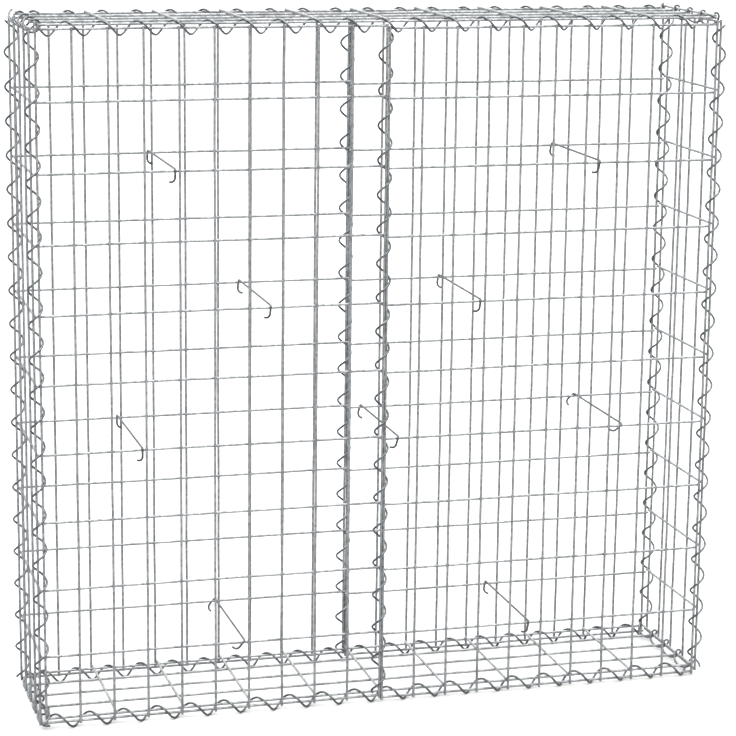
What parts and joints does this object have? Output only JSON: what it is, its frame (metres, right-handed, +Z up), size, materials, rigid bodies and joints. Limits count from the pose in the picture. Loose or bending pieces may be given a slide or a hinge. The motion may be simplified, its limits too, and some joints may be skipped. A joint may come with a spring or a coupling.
{
  "type": "gabion basket",
  "caption": "Empty upright wire mesh gabion basket, laced with spiral binders and braced by tie hooks, to be filled with stone as a wall.",
  "frame": {"origin": "centre of the basket's bounding box, on the ground that it stands on", "axes": "+X along the front from the left end to the right end, +Y from the front to the back, +Z up"},
  "size_m": [1.038, 0.2326, 1.0254],
  "materials": {
    "mesh_wire": "hot-dip galvanised drawn wire, satin grey",
    "spiral_wire": "galvanised spring wire, darker grey",
    "tie_wire": "galvanised drawn wire, satin grey"
  },
  "bodies": {
    "root": {"front_left_panel": "mesh_wire", "front_right_panel": "mesh_wire", "back_left_panel": "mesh_wire", "back_right_panel": "mesh_wire", "left_end_panel": "mesh_wire", "right_end_panel": "mesh_wire", "floor_panel": "mesh_wire", "lid_panel": "mesh_wire", "front_left_spiral": "spiral_wire", "front_centre_spiral": "spiral_wire", "front_right_spiral": "spiral_wire", "back_left_spiral": "spiral_wire", "back_centre_spiral": "spiral_wire", "back_right_spiral": "spiral_wire", "floor_front_spiral": "spiral_wire", "floor_back_spiral": "spiral_wire", "floor_left_spiral": "spiral_wire", "floor_right_spiral": "spiral_wire", "lid_front_spiral": "spiral_wire", "lid_back_spiral": "spiral_wire", "lid_left_spiral": "spiral_wire", "lid_right_spiral": "spiral_wire", "tie_hook_1": "tie_wire", "tie_hook_2": "tie_wire", "tie_hook_3": "tie_wire", "tie_hook_4": "tie_wire", "tie_hook_5": "tie_wire", "tie_hook_6": "tie_wire", "tie_hook_7": "tie_wire", "tie_hook_8": "tie_wire", "tie_hook_9": "tie_wire"}
  },
  "joints": []
}
